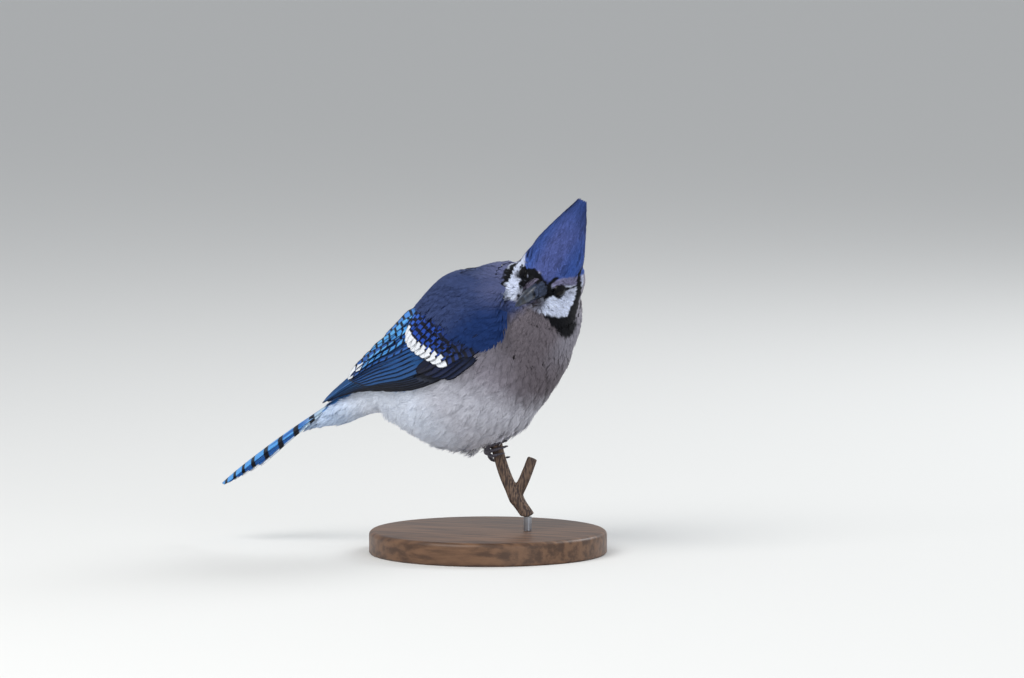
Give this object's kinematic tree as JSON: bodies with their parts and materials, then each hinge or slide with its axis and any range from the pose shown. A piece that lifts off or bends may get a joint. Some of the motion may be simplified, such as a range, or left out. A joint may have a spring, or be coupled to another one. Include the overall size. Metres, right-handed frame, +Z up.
{
  "type": "blue jay",
  "caption": "Life-size perched blue jay with a raised crest and folded wings, gripping a cut forked stem on a round display stand.",
  "frame": {"origin": "centre of the flat underside of the display stand", "axes": "+X is the way the bird's body faces, +Y is to its left, +Z is up"},
  "size_m": [0.2117, 0.124, 0.1808],
  "materials": {
    "body_plumage": "soft grey body feathers, blue-grey on the back and white below",
    "head_plumage": "soft blue feathers with a white face and a black collar",
    "eye": "wet dark brown",
    "bill": "satin black horn",
    "flight_feathers": "bright blue vanes with black bars and white tips",
    "foot": "dark scaled skin and horn claws",
    "bark": "weathered grey-brown bark",
    "rod_steel": "brushed",
    "base_wood": "satin varnish"
  },
  "bodies": {
    "root": {"torso": "body_plumage", "neck": "body_plumage", "head": "head_plumage", "crest": "head_plumage", "eye_right": "eye", "eye_left": "eye", "bill_upper": "bill", "bill_lower": "bill", "wing_right": "flight_feathers", "wing_left": "flight_feathers", "tail": "flight_feathers", "leg_right": "foot", "leg_left": "foot", "perch_stem": "bark", "stand_rod": "rod_steel", "stand_base": "base_wood"}
  },
  "joints": []
}
